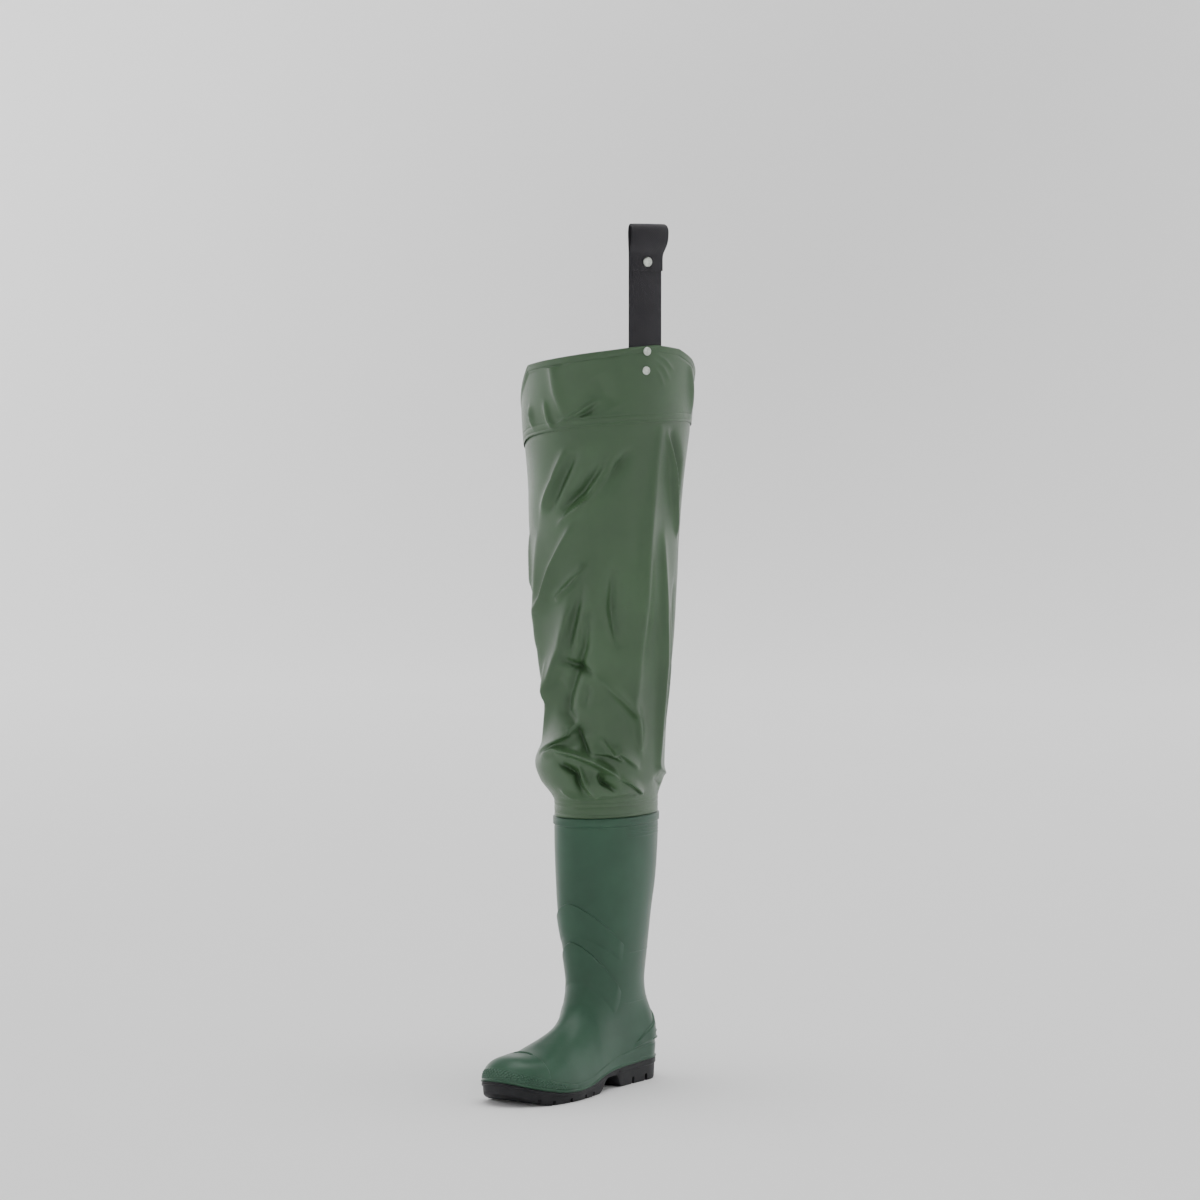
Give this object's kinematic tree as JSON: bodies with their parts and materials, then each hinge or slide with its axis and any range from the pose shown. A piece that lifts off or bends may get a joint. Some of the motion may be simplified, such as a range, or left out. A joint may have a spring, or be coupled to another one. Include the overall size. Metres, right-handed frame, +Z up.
{
  "type": "hip wader",
  "caption": "Left hip wader: moulded boot with a cleated sole, welded fabric leg up to the thigh, and a belt strap with a snapped loop.",
  "frame": {"origin": "on the ground, under the middle of the heel's tread", "axes": "+Z up along the leg, -Y towards the toe, +X towards the outer (lateral) side of this left foot"},
  "size_m": [0.2199, 0.3518, 1.09],
  "materials": {
    "green_pvc": "satin moulded",
    "black_pvc": "matt moulded",
    "olive_fabric": "coated, slightly glossy",
    "charcoal_strap": "matt coated webbing",
    "insole_felt": "matt felt",
    "nickel": "satin plated"
  },
  "bodies": {
    "root": {"outsole": "black_pvc", "upper": "green_pvc", "insole": "insole_felt", "leg": "olive_fabric", "thigh_panel": "olive_fabric", "belt_strap": "charcoal_strap", "loop_snap": "nickel", "rivet_upper": "nickel", "rivet_lower": "nickel"}
  },
  "joints": []
}
